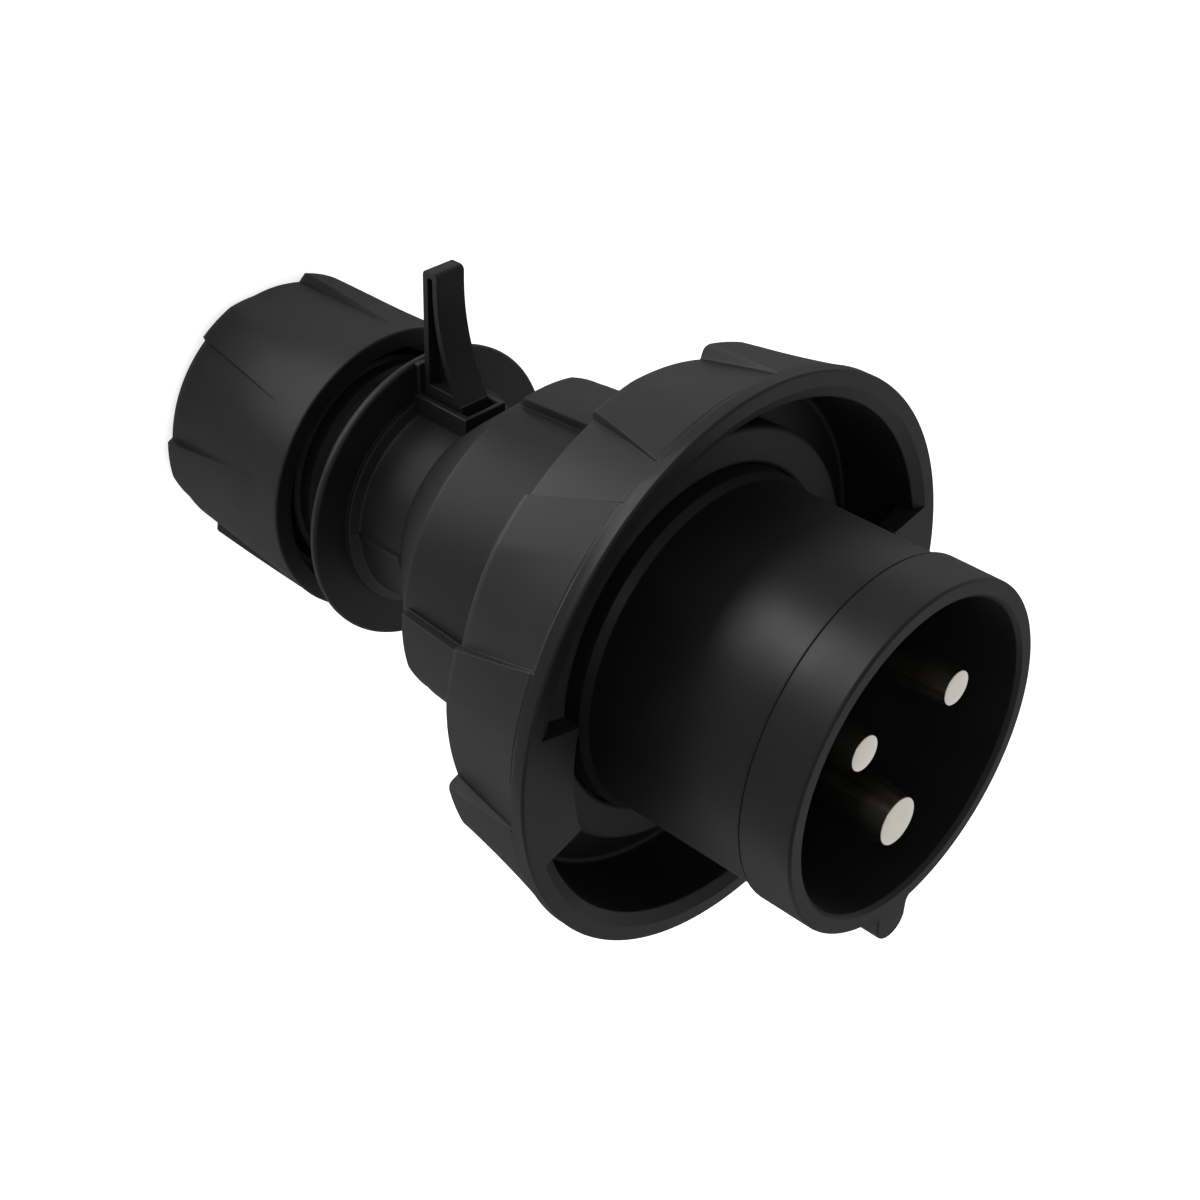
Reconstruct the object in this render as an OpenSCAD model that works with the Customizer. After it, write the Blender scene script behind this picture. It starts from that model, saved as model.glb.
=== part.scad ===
// Splash-proof industrial pin-and-sleeve plug, 16 A, two poles and earth, earth at 6 o'clock.
// The plug stands on its gland nut: +Z runs along its axis towards the pins, +Y is 12 o'clock
// and +X is 3 o'clock as seen from the pins. Clock angles grow clockwise from 12 o'clock.

/* [Gland nut] */
// Length of the gland nut
nut_h = 25.3; // [23:0.1:30]
// Radius of the nut's mouth, at the front
nut_front_r = 20; // [19:0.1:23]
// Radius of the nut's grip at the rear end, between the teeth
nut_rear_r = 18.1; // [17.6:0.1:19]
// Height of a grip tooth at the nut's rear end
nut_tooth_h = 1.4; // [0.8:0.1:1.8]
// Thickness of the nut's end wall
nut_floor = 4; // [3:0.1:5]
// Radius of the cable entry in the end wall
entry_r = 9.5; // [8:0.1:10.5]
// Clear length between the nut's mouth and the drum
nut_gap = 4.2; // [3:0.1:8]

/* [Gland insert] */
// Thickness of the slip ring under the end wall
slip_t = 1.5; // [1:0.1:2.5]
// Thickness of the clamp cage's base ring
cage_base_t = 2; // [1.5:0.1:3]
// Length of the clamp cage's fingers
finger_len = 13.5; // [10:0.1:14]
// Number of fingers
finger_count = 10; // [6:1:14]
// Thickness of a finger
finger_t = 1.9; // [1.4:0.1:2.2]
// Radius of the cable hole in the rubber seal
seal_bore_r = 6.5; // [4:0.1:8]
// Thickness of the seal's front flange
seal_flange_t = 4; // [2:0.1:5]

/* [Rear housing] */
// Radius of the threaded spigot
spigot_r = 15.2; // [14.8:0.1:15.6]
// Wall of the threaded spigot
spigot_wall = 1.7; // [1.4:0.1:1.9]
// Radius of the drum that the nut tightens towards
drum_r = 20.4; // [19.6:0.1:23]
// Thickness of the drum
drum_t = 4; // [3:0.1:6]
// Width of the slope between the drum's front and the neck
neck_foot = 1.2; // [0.6:0.1:2]
// Radius of the neck
neck_r = 14; // [13.6:0.1:14.6]
// Wall of the neck
neck_wall = 2.5; // [2.2:0.1:3]
// Length of the neck from the drum to the shoulder
neck_len = 9.7; // [9.6:0.1:14]
// Axial length of the sloping shoulder
shoulder_h = 8; // [6:0.1:12]
// Radius of the body's rear edge
body_rear_r = 22.4; // [21.8:0.1:23]
// Widening of the body from its rear edge to its flange
body_flare = 1; // [0.6:0.1:2]
// Wall of the body around the shroud's tail, at its front end
body_front_wall = 1.8; // [1.4:0.1:2.8]
// Length of the body from the shoulder to its flange's front face
body_len = 20; // [18:0.1:26]
// Wall of the body
body_wall = 2.4; // [2:0.1:2.8]
// Height of the flange behind the ring, over the ring's journal
flange_step = 2; // [1.4:0.1:4]
// Height of a grip tooth on the body
body_tooth_h = 1.2; // [0.6:0.1:1.6]

/* [Bayonet ring] */
// Wall of the journal that the ring turns on
journal_wall = 2.4; // [2:0.1:2.8]
// Thickness of the ring's web
web_t = 4.5; // [3.5:0.1:6]
// Length of the ring
ring_h = 15.7; // [14:0.1:18]
// Radius of the ring at its rear edge, between the teeth
ring_rear_r = 32.6; // [32.4:0.1:33.4]
// Height of the ring's front rim over the grip behind it, between the teeth
rim_lip = 2.2; // [1.6:0.1:2.6]
// Depth of the teeth below the ring's front rim
rim_step = 0.3; // [0.3:0.1:1.4]
// Radius of the ring's front rim
ring_front_r = 36.8; // [36.2:0.1:39]
// Length of the ring's cylindrical front rim
rim_h = 2.2; // [1.6:0.1:3.4]
// Wall of the ring at its floor
ring_floor_wall = 1.2; // [0.8:0.1:2]
// Wall of the ring at its mouth, behind the rim
ring_mouth_wall = 1.4; // [1:0.1:2]
// Width of the bevel around the ring's mouth
mouth_bevel = 1.6; // [0.8:0.1:2.2]
// Height of a grip tooth at the ring's rear edge
ring_tooth_h = 2; // [1.2:0.1:2.4]
// Clock angle of each lug's middle
lug_at = 93; // [85:1:95]
// Angle that a lug takes up
lug_span = 30; // [20:1:40]
// Inner radius of a lug
lug_r = 28.6; // [27.6:0.1:29.6]
// Thickness of a lug at its thin end
lug_t = 2.4; // [1.8:0.1:3.4]
// Angle that the ring turns from open to locked
ring_turn = 45; // [30:1:60]

/* [Shroud] */
// Length of the shroud in front of its flange
shroud_len = 33.9; // [31:0.1:38]
// Wall of the shroud around the bottom of its hollow
shroud_wall = 2.2; // [1.8:0.1:2.6]
// Height of the shroud's front band
band_step = 0.6; // [0.4:0.1:1]
// Length of the front band
band_len = 7.4; // [4:0.1:12]
// Flare of the shroud's hollow from its bottom to its mouth
mouth_flare = 0.4; // [0.2:0.1:0.6]
// Thickness of the shroud's flange
flange_t = 2; // [1.5:0.1:3]
// Reach of the shroud's flange and of the gasket past the ring's journal
gasket_reach = 3; // [2:0.1:3.4]
// Thickness of the gasket
gasket_t = 1.5; // [1:0.1:2.5]
// Height of the collar around the shroud's foot
collar_step = 0.7; // [0.2:0.05:0.8]
// Length of that collar in front of the flange
collar_h = 3.1; // [2.8:0.1:5]
// Length of the slope from that collar to the shroud
collar_slope = 1.05; // [0.4:0.05:1.4]
// Height of the key over the front band
key_h = 4.8; // [3:0.1:5]
// Width of the key
key_w = 5.4; // [4:0.1:7]
// Length of the key
key_len = 26; // [18:0.1:27]
// Length of the shroud's tail inside the housing
tail_len = 13; // [11:0.1:15]
// Wall between the shroud's hollow and the outside of its tail
tail_wall = 2.3; // [2:0.1:2.6]
// Radius of the sealing ring's cord in the tail's groove
seal_cord_r = 0.7; // [0.5:0.05:0.8]
// Height of the twist lugs that hold the tail in the housing
twist_h = 0.7; // [0.5:0.05:0.8]
// Length of the twist lugs
twist_len = 2.4; // [1.6:0.1:3]
// Thickness of the floor that the pins stand on
floor_t = 4; // [3:0.1:5]
// Depth of the floor behind the flange's rear face
floor_depth = 2.1; // [1.6:0.1:3]

/* [Contacts] */
// Distance of each pin from the axis
pin_pitch_r = 9.7; // [9.2:0.1:10.4]
// Radius of the line and neutral pins
pin_r = 2.5; // [2:0.1:3]
// Radius of the earth pin
earth_r = 3.5; // [3:0.1:3.9]
// Thickness of the collar around a pin's foot
foot_t = 0.4; // [0.2:0.05:0.6]
// Height of that collar above the floor
foot_h = 0.3; // [0.2:0.05:1]
// Rounding of the pins' tips
tip_round = 0.5; // [0.3:0.05:1]
// Distance of the pins' tips behind the shroud's mouth
pin_back = 1.2; // [0.5:0.1:4]
// Radius of the line and neutral terminals
terminal_r = 4; // [3.6:0.1:4.4]
// Radius of the earth terminal
earth_terminal_r = 4.8; // [4.4:0.1:5]
// Length of the terminals behind the floor
terminal_len = 19; // [17:0.1:20]
// Radius of the wire hole in each terminal
wire_r = 2; // [1.4:0.1:2.4]
// Radius of the terminal screws' threads
screw_r = 1.75; // [1.2:0.05:2]
// Distance of the terminal screws from the terminals' rear ends
screw_from_end = 4.6; // [4:0.1:6]
// Height of the terminal screws' heads
screw_head_h = 1.6; // [1.2:0.1:1.8]
// Gap under the terminal screws' heads
screw_lift = 0.4; // [0.2:0.1:0.6]
// Thickness of the terminal block's rear wall
block_wall = 1.2; // [0.8:0.1:2]

/* [Lock lever] */
// Height of the lever's tip above the axis
lever_top = 33.3; // [28:0.1:38]
// Width of the lever
lever_w = 4.6; // [4:0.1:5.2]
// Thickness of the lever at its tip
lever_tip_t = 2.6; // [2:0.1:3.2]
// Thickness of the lever at its foot
lever_foot_t = 6.9; // [6:0.1:7.1]
// Wall left around the lever's hollow sides
lever_wall = 0.9; // [0.6:0.1:1.1]
// Height of the raised frame around the lever's foot, from the axis
frame_top = 16; // [15.6:0.1:17]
// Radius of the lever's pivot pin
pivot_r = 0.8; // [0.6:0.05:0.9]

/* [Clearances] */
// Clearance between pieces that turn or slide on each other
run_gap = 0.2; // [0.1:0.05:0.3]
// Clearance around a piece that is fixed in its seat
seat_gap = 0.1; // [0.05:0.05:0.2]
// Clearance of the nut over the spigot's thread
thread_gap = 0.3; // [0.2:0.05:0.4]

/* [Hidden] */
$fn = 96;

// Overshoot of a cut past the face that it opens
over = 1;

// Stack of levels along the axis, from the nut's end wall to the shroud's mouth
slip_z = nut_floor;
cage_z = slip_z + slip_t;
finger_z = cage_z + cage_base_t;
spigot_z = finger_z + 0.5;
drum_z = nut_h + nut_gap;
drum_front_z = drum_z + drum_t;
neck_z = drum_front_z;
shoulder_z = drum_front_z + neck_len;
body_z = shoulder_z + shoulder_h;
flange_z = body_z + body_len;
ring_z = flange_z + run_gap;
ring_floor_z = ring_z + web_t;
ring_top_z = ring_z + ring_h;
seat_z = ring_floor_z + run_gap;
gasket_z = seat_z + flange_t;
collar_z = gasket_z + collar_h;
mouth_z = gasket_z + shroud_len;
band_z = mouth_z - band_len;
floor_top_z = seat_z - floor_depth;
floor_z = floor_top_z - floor_t;
tail_z = seat_z - tail_len;
tip_z = mouth_z - pin_back;
terminal_z = floor_z - terminal_len;
block_z = terminal_z - block_wall;
screw_z = terminal_z + screw_from_end;

// Radii from the body inwards to the shroud's tail and hollow, and out again to the flanges and the shroud
body_front_r = body_rear_r + body_flare;
tail_bore = body_front_r - body_front_wall;
tail_r = tail_bore - seat_gap;
hollow_r = tail_r - tail_wall;
journal_r = tail_bore + journal_wall;
flange_r = journal_r + flange_step;
gasket_r = journal_r + gasket_reach;
shroud_r = hollow_r + shroud_wall;
band_r = shroud_r + band_step;
mouth_r = hollow_r + mouth_flare;
collar_r = shroud_r + collar_step;
key_r = band_r + key_h;

// Radii of the ring's grip and hollow
ring_grip_r = ring_front_r - rim_lip;
ring_at_floor_r = ring_rear_r + (ring_grip_r - ring_rear_r) * web_t / (ring_h - rim_h);
ring_floor_r = ring_at_floor_r - ring_floor_wall;
ring_mouth_r = ring_grip_r - ring_mouth_wall;

// Bores of the rear housing
spigot_bore = spigot_r - spigot_wall;
neck_bore = neck_r - neck_wall;
body_bore = body_rear_r - body_wall;
cone_rear_r = neck_bore - 0.5;
cone_extra = 1.4;
seal_seat_z = finger_z + finger_len + 0.6 + seal_flange_t;

// Groove of the sealing ring in the shroud's tail, and the room inside the tail for the terminal block
block_room_r = hollow_r - 0.2;
seal_groove_r = tail_bore - 2 * seal_cord_r - 2 * seat_gap / 2;
seal_z = floor_z + floor_t / 2;

// Twist closure between shroud and housing
twist_lugs = 3;
twist_span = 20;
twist_z = tail_z + 1.6;

// Teeth on the grips: valley between the two opposite sets, and the step from tooth to tooth
nut_valley = [-61.5, 23.5, 56, 3];
body_valley = [-47, 38.5, 51.5, 3];
ring_valley = [-29.5, 10.5, 31.8, 6];

// Angles of a tooth: level top, ramp, lean of its step and tilt of its flanks
nut_tooth = [17, 12, 8, 3];
body_tooth = [20, 14, 0, 3.8];
ring_rise = ring_front_r - ring_rear_r - (rim_lip + rim_step + ring_tooth_h) / 2;
ring_tooth = [11, 20, 14, atan(ring_rise / (ring_h - rim_h))];

// Lever, pivot and pocket
lever_z = drum_front_z + 1;
pocket_rear_z = lever_z - run_gap;
pocket_front_z = lever_z + lever_foot_t + 1.2;
pocket_w = lever_w + 2 * run_gap;
frame_wall = 1;
frame_w = pocket_w + 2 * frame_wall;
pivot_y = neck_r - neck_wall / 2;
pivot_z = lever_z + lever_foot_t / 2;
pivot_len = frame_w - 1;
nose_len = 2.2;
nose_t = 2;
nose_w = lever_w - 1.2;
tongue_t = 2;
tongue_top = neck_bore - 1.2;
tongue_w = lever_w + 0.6;

// Clock angles of the pins
line_at = 60;
neutral_at = -60;
earth_at = 180;

housing_colour = [0.07, 0.07, 0.07];
rubber_colour = [0.12, 0.12, 0.12];
insert_colour = [0.16, 0.16, 0.16];
brass_colour = [0.78, 0.76, 0.7];
steel_colour = [0.72, 0.72, 0.74];

// Turns what stands at 12 o'clock to a clock angle
module at_clock(angle) {
    rotate([0, 0, -angle]) children();
}

// Takes the corner off a profile with a round edge; the profile lies towards (side_x, side_y)
module round_edge(x, y, r, side_x, side_y) {
    skin = 0.02;
    translate([x, y])
        mirror([side_x < 0 ? 1 : 0, 0])
            mirror([0, side_y < 0 ? 1 : 0])
                difference() {
                    translate([-skin, -skin]) square(r + skin);
                    translate([r, r]) circle(r);
                }
}

// Ring of rectangular section
module tube(outer_r, inner_r, z, h) {
    translate([0, 0, z])
        difference() {
            cylinder(r = outer_r, h = h);
            translate([0, 0, -over]) cylinder(r = inner_r, h = h + 2 * over);
        }
}

// One grip tooth: a leaning step at 12 o'clock, a level top and a ramp that falls clockwise
module tooth(base_r, crest_r, angles, z, len) {
    lead = 12;
    level = angles[0];
    ramp = angles[1];
    lean = angles[2];
    tilt = angles[3];
    low = 0.92 * base_r;
    high = 1.1 * crest_r;
    top = [crest_r * sin(level), crest_r * cos(level)];
    foot = [(base_r - 0.2) * sin(level + ramp), (base_r - 0.2) * cos(level + ramp)];
    intersection() {
        translate([0, crest_r, z])
            rotate([-tilt, 0, 0])
                translate([0, -crest_r, -over])
                    linear_extrude(len + 2 * over)
                        polygon([[-low * sin(lead), low * cos(lead)], [-high * sin(lead), high * cos(lead)],
                                 2 * top - foot, foot, [low * sin(level + ramp), low * cos(level + ramp)]]);
        translate([0, 0, z])
            rotate([0, -lean, 0]) translate([0, 0, -2 * over]) cube([high, high, len * 1.2 + 4 * over]);
    }
}

// Teeth on one side of a valley, from one count to another: side 1 clockwise, side -1 anticlockwise
module teeth(valley, side, first, last, base_r, crest_r, angles, z, len) {
    for (i = [first : last])
        at_clock(valley[0] + side * (valley[1] + i * valley[2]))
            mirror([side < 0 ? 1 : 0, 0, 0]) tooth(base_r, crest_r, angles, z, len);
}

// Level tops of the nut's teeth, bevelled at the rear and running out into the grip
module nut_crest(h, run_out) {
    bevel = 1.6;
    low = nut_rear_r - 2;
    end_z = nut_h * run_out;
    rotate_extrude()
        polygon([[low, 0], [nut_rear_r + h - bevel, 0], [nut_rear_r + h, bevel],
                 [nut_rear_r + (nut_front_r - nut_rear_r) * run_out - 0.03, end_z], [low, end_z]]);
}

module gland_nut() {
    edge = 2;
    mouth_wall = 2.6;
    mouth_depth = 4;
    low_h = nut_tooth_h * 0.6;
    last = nut_valley[3] - 1;
    color(housing_colour) difference() {
        union() {
            rotate_extrude() difference() {
                polygon([[0, 0], [nut_rear_r, 0], [nut_front_r, nut_h], [0, nut_h]]);
                round_edge(nut_rear_r, 0, edge, -1, 1);
                round_edge(nut_front_r, nut_h, 0.5, -1, -1);
            }
            intersection() {
                for (side = [-1, 1])
                    teeth(nut_valley, side, 0, 0, nut_rear_r, nut_rear_r + low_h, nut_tooth, 0, nut_h);
                nut_crest(low_h, 0.8);
            }
            intersection() {
                for (side = [-1, 1])
                    teeth(nut_valley, side, 1, last, nut_rear_r, nut_rear_r + nut_tooth_h, nut_tooth, 0,
                          nut_h);
                nut_crest(nut_tooth_h, 0.93);
            }
        }
        translate([0, 0, -over]) cylinder(r = entry_r, h = nut_floor + 2 * over);
        translate([0, 0, nut_floor]) cylinder(r = spigot_r + thread_gap, h = nut_h);
        translate([0, 0, nut_h - mouth_depth]) cylinder(r = nut_front_r - mouth_wall, h = nut_h);
        translate([0, 0, -0.01]) cylinder(r1 = entry_r + 1.2, r2 = entry_r, h = 1.2);
    }
}

module slip_ring() {
    color(insert_colour) tube(spigot_r - 0.6, entry_r + 0.3, slip_z, slip_t);
}

module clamp_cage() {
    outer_r = spigot_bore - thread_gap;
    slot_w = 2;
    color(insert_colour) difference() {
        union() {
            tube(spigot_r - 0.6, entry_r + 0.3, cage_z, cage_base_t);
            tube(outer_r, outer_r - finger_t, finger_z, finger_len);
        }
        for (i = [0 : finger_count - 1])
            at_clock((i + 0.5) * 360 / finger_count)
                translate([-slot_w / 2, 0, finger_z]) cube([slot_w, spigot_r, finger_len + over]);
    }
}

module gland_seal() {
    sleeve_r = spigot_bore - thread_gap - finger_t - 0.3;
    sleeve_z = finger_z + 2;
    flange_z0 = seal_seat_z - seal_flange_t;
    flare = 1.8;
    color(rubber_colour) difference() {
        union() {
            translate([0, 0, sleeve_z]) cylinder(r = sleeve_r, h = seal_seat_z - sleeve_z);
            translate([0, 0, flange_z0]) cylinder(r = spigot_bore - seat_gap, h = seal_flange_t);
        }
        translate([0, 0, sleeve_z - over]) cylinder(r = seal_bore_r, h = seal_seat_z);
        translate([0, 0, sleeve_z - 0.01]) cylinder(r1 = seal_bore_r + flare, r2 = seal_bore_r, h = flare);
    }
}

// Outer form of the rear housing, from the thread to the journal
module housing_outside() {
    drum_edge = drum_t * 0.25;
    drum_back = drum_t * 0.6;
    body_edge = 0.9;
    flange_lip = 2.6;
    rotate_extrude() {
        difference() {
            union() {
                translate([0, spigot_z]) square([spigot_r, drum_z - spigot_z + over]);
                translate([0, drum_z]) square([drum_r, drum_t]);
            }
            round_edge(drum_r, drum_front_z, drum_edge, -1, -1);
            round_edge(drum_r, drum_z, drum_back, -1, 1);
        }
        translate([0, neck_z - 0.5]) square([neck_r, shoulder_z - neck_z + 0.5]);
        polygon([[0, neck_z - 0.5], [neck_r + neck_foot, neck_z - 0.5], [neck_r + neck_foot, neck_z],
                 [neck_r, neck_z + neck_foot], [0, neck_z + neck_foot]]);
        polygon([[0, shoulder_z], [neck_r, shoulder_z], [body_rear_r - body_edge, body_z - body_edge * 0.2],
                 [body_rear_r, body_z + body_edge], [body_front_r, flange_z - flange_lip - 2],
                 [flange_r, flange_z - flange_lip], [flange_r, flange_z], [0, flange_z]]);
        translate([0, flange_z - over]) square([journal_r, seat_z - flange_z + over]);
    }
}

// Grip teeth of the body
module body_teeth() {
    rear = body_z + 2;
    len = flange_z - 5.4 - rear;
    rise = (body_front_r - body_rear_r) * 0.8;
    crest = body_rear_r + body_tooth_h;
    intersection() {
        for (side = [-1, 1])
            teeth(body_valley, side, 0, body_valley[3] - 1, body_rear_r, crest, body_tooth, rear, len);
        rotate_extrude()
            polygon([[body_bore + 0.8, rear], [crest - 0.5, rear], [crest, rear + 0.5],
                     [crest + rise, rear + len], [body_bore + 0.8, rear + len]]);
    }
}

// Stops on the journal that end the ring's turn
module ring_stops(turn, extra_angle, extra_r, z, h) {
    stop_span = 12;
    stop_h = 1.2;
    for (side = [0, 180])
        translate([0, 0, z])
            rotate([0, 0, side - stop_span / 2 - turn - extra_angle])
                rotate_extrude(angle = stop_span + turn + 2 * extra_angle)
                    translate([journal_r - 1, 0]) square([stop_h + extra_r + 1, h]);
}

module rear_housing() {
    ridge_h = 0.35;
    ridge_w = 0.7;
    rib_w = frame_w - 1.2;
    rib_drop = 0.6;
    color(housing_colour) difference() {
        union() {
            housing_outside();
            body_teeth();
            ring_stops(0, 0, 0, flange_z - 0.5, web_t + 0.5);
            translate([-frame_w / 2, 0, neck_z - 0.5])
                cube([frame_w, frame_top, pocket_front_z + frame_wall - neck_z + 0.5]);
            translate([-rib_w / 2, 0, neck_z - 0.5])
                cube([rib_w, drum_r - rib_drop, pocket_rear_z - 0.1 - neck_z + 0.5]);
            for (side = [-1, 1])
                translate([side * neck_r - ridge_h, -ridge_w / 2, neck_z - 0.5])
                    cube([2 * ridge_h, ridge_w, shoulder_z - neck_z + 0.9]);
        }
        translate([0, 0, spigot_z - over]) cylinder(r = spigot_bore, h = seal_seat_z - spigot_z + over);
        translate([0, 0, seal_seat_z - over]) cylinder(r = neck_bore, h = body_z - seal_seat_z);
        translate([0, 0, shoulder_z])
            cylinder(r1 = cone_rear_r, r2 = body_bore, h = shoulder_h + cone_extra);
        translate([0, 0, body_z + cone_extra - 0.01])
            cylinder(r = body_bore, h = tail_z - 0.5 - body_z - cone_extra);
        translate([0, 0, tail_z - 0.6]) cylinder(r = tail_bore, h = tail_len + 0.6 + over);
        tube(tail_bore + twist_h + seat_gap, tail_bore - over, twist_z - run_gap, twist_len + 2 * run_gap);
        for (i = [0 : twist_lugs - 1])
            rotate([0, 0, i * 360 / twist_lugs + twist_span * 1.3])
                translate([0, 0, twist_z])
                    rotate_extrude(angle = twist_span + 2)
                        translate([tail_bore - over, 0])
                            square([over + twist_h + 2 * seat_gap, seat_z - twist_z + over]);
        translate([-pocket_w / 2, 0, pocket_rear_z])
            cube([pocket_w, frame_top + over, pocket_front_z - pocket_rear_z]);
        translate([-pivot_len / 2 - seat_gap, pivot_y, pivot_z])
            rotate([0, 90, 0]) cylinder(r = pivot_r + seat_gap / 2, h = pivot_len + 2 * seat_gap);
    }
}

// Side outline of the lever: upright rear face, hollow-curved front; x is height, y runs forward
module lever_outline(inset) {
    foot_step = 0.2;
    curve_start = lever_top - 2.3;
    foot_y = frame_top + 0.8;
    curve_in = lever_foot_t - foot_step - lever_tip_t;
    curve_r = ((curve_start - foot_y) * (curve_start - foot_y) + curve_in * curve_in) / (2 * curve_in);
    difference() {
        translate([foot_y + inset, inset]) square([lever_top - foot_y - 2 * inset, lever_foot_t + 2]);
        translate([curve_start, lever_tip_t + curve_r]) circle(curve_r + inset);
        translate([curve_start, lever_tip_t - inset]) square([lever_top, lever_foot_t]);
    }
}

module lock_lever() {
    web = 0.9;
    rib = 0.8;
    foot_y = frame_top + 0.8;
    base_y = neck_bore - 0.2;
    heel = 0.9;
    // Local axes: height above the plug's axis, then forward from the lever's rear face
    color(housing_colour)
        translate([0, 0, lever_z])
            rotate([90, 0, 90])
                difference() {
                    union() {
                        translate([0, 0, -lever_w / 2]) linear_extrude(lever_w) difference() {
                            lever_outline(0);
                            round_edge(lever_top, 0, 0.7, -1, 1);
                            round_edge(lever_top, lever_tip_t, 0.7, -1, -1);
                        }
                        translate([0, 0, -lever_w / 2]) linear_extrude(lever_w)
                            polygon([[base_y + heel, 0], [foot_y + 0.01, 0], [foot_y + 0.01, lever_foot_t],
                                     [base_y + heel, lever_foot_t], [base_y, lever_foot_t - heel],
                                     [base_y, heel]]);
                        translate([base_y - nose_len, pivot_z - lever_z - nose_t / 2, -nose_w / 2])
                            cube([nose_len + 0.5, nose_t, nose_w]);
                    }
                    for (side = [-1, 1])
                        translate([0, 0, side > 0 ? web / 2 : -lever_w / 2 - over])
                            linear_extrude(lever_w / 2 - web / 2 + over) lever_outline(lever_wall);
                    translate([pivot_y, pivot_z - lever_z, -lever_w / 2 - over])
                        cylinder(r = pivot_r + seat_gap, h = lever_w + 2 * over);
                }
}

module lever_pin() {
    color(steel_colour)
        translate([-pivot_len / 2, pivot_y, pivot_z]) rotate([0, 90, 0]) cylinder(r = pivot_r, h = pivot_len);
}

// Level tops of the ring's teeth, from the rear edge into the front rim
module ring_crest(h, top_z) {
    bevel = 0.5;
    sink = 0.4;
    at_floor = ring_at_floor_r - ring_floor_wall / 2;
    at_top = ring_grip_r - ring_mouth_wall / 2;
    rotate_extrude()
        polygon([[ring_rear_r - ring_floor_wall, ring_z], [ring_rear_r + h - bevel, ring_z],
                 [ring_rear_r + h, ring_z + bevel], [ring_front_r - rim_step, top_z + sink],
                 [at_top, top_z + sink], [at_floor, ring_floor_z]]);
}

module bayonet_ring() {
    cone_top_z = ring_top_z - rim_h;
    edge = 0.4;
    tooth_len = cone_top_z - ring_z + 0.6;
    low_h = ring_tooth_h * 0.35;
    last = ring_valley[3] - 1;
    color(housing_colour) difference() {
        union() {
            rotate_extrude() difference() {
                polygon([[journal_r + run_gap, ring_z], [ring_rear_r - edge, ring_z],
                         [ring_rear_r, ring_z + edge], [ring_grip_r, cone_top_z - 0.3],
                         [ring_front_r - 0.8, cone_top_z], [ring_front_r, cone_top_z + 0.5],
                         [ring_front_r, ring_top_z], [ring_mouth_r + mouth_bevel, ring_top_z],
                         [ring_mouth_r, ring_top_z - mouth_bevel * 0.5], [ring_floor_r, ring_floor_z],
                         [journal_r + run_gap, ring_floor_z]]);
                round_edge(ring_front_r, ring_top_z, 0.6, -1, -1);
            }
            intersection() {
                for (side = [-1, 1])
                    teeth(ring_valley, side, 0, side < 0 ? 1 : 0, ring_rear_r, ring_rear_r + low_h, ring_tooth,
                          ring_z, tooth_len);
                ring_crest(low_h, cone_top_z);
            }
            intersection() {
                for (side = [-1, 1])
                    teeth(ring_valley, side, side < 0 ? 2 : 1, last, ring_rear_r, ring_rear_r + ring_tooth_h,
                          ring_tooth, ring_z, tooth_len);
                ring_crest(ring_tooth_h, cone_top_z);
            }
            for (side = [-1, 1]) bayonet_lug(side);
        }
        ring_stops(ring_turn, 0.6, run_gap, ring_z - over, web_t + 2 * over);
    }
}

// One inward lug of the ring, thicker towards the end that locks
module bayonet_lug(side) {
    ramp = 3;
    depth = lug_t + 2 * lug_r * sin(lug_span / 2) * tan(ramp);
    at_clock(side * lug_at)
        difference() {
            translate([0, 0, ring_top_z - depth])
                rotate([0, 0, 90 - lug_span / 2])
                    rotate_extrude(angle = lug_span)
                        translate([lug_r, 0]) square([ring_mouth_r + mouth_bevel + 0.5 - lug_r, depth]);
            translate([0, 0, ring_top_z - depth])
                rotate([0, -ramp, 0]) translate([-2 * lug_r * sin(lug_span / 2), 0, -2 * depth - lug_t * 0.4])
                    cube([4 * lug_r * sin(lug_span / 2), ring_front_r, 2 * depth]);
        }
}

module shroud() {
    lip_edge = 0.7;
    color(housing_colour) difference() {
        union() {
            rotate_extrude() difference() {
                union() {
                    translate([0, tail_z]) square([tail_r, seat_z - tail_z + 0.5]);
                    translate([0, seat_z]) square([gasket_r, flange_t]);
                    translate([0, seat_z]) square([collar_r, collar_z - seat_z]);
                    polygon([[0, collar_z], [collar_r, collar_z], [shroud_r, collar_z + collar_slope],
                             [shroud_r, band_z], [band_r, band_z + 0.2], [band_r, mouth_z], [0, mouth_z]]);
                }
                round_edge(band_r, mouth_z, lip_edge, -1, -1);
                round_edge(gasket_r, seat_z, 0.4, -1, 1);
            }
            shroud_key();
            for (i = [0 : twist_lugs - 1])
                rotate([0, 0, i * 360 / twist_lugs])
                    translate([0, 0, twist_z])
                        rotate_extrude(angle = twist_span)
                            translate([tail_r - 1, 0]) square([1 + twist_h, twist_len]);
        }
        rotate_extrude()
            polygon([[0, floor_top_z], [hollow_r, floor_top_z], [mouth_r, mouth_z - 0.5],
                     [mouth_r + 0.5, mouth_z], [mouth_r + 0.5, mouth_z + over], [0, mouth_z + over]]);
        translate([0, 0, tail_z - over]) cylinder(r = block_room_r, h = floor_z - tail_z + over);
        tube(tail_r + over, seal_groove_r, seal_z - seal_cord_r - seat_gap, 2 * (seal_cord_r + seat_gap));
        for (angle = [line_at, neutral_at]) pin_hole(angle, pin_r);
        pin_hole(earth_at, earth_r);
        translate([0, 0, floor_z - over]) cylinder(r = screw_r + seat_gap / 2, h = floor_t - 0.4 + over);
    }
}

// Hole in the shroud's floor for one pin
module pin_hole(angle, r) {
    at_clock(angle)
        translate([0, pin_pitch_r, floor_z - over])
            cylinder(r = r + foot_t + seat_gap / 2, h = floor_t + 2 * over);
}

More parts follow.
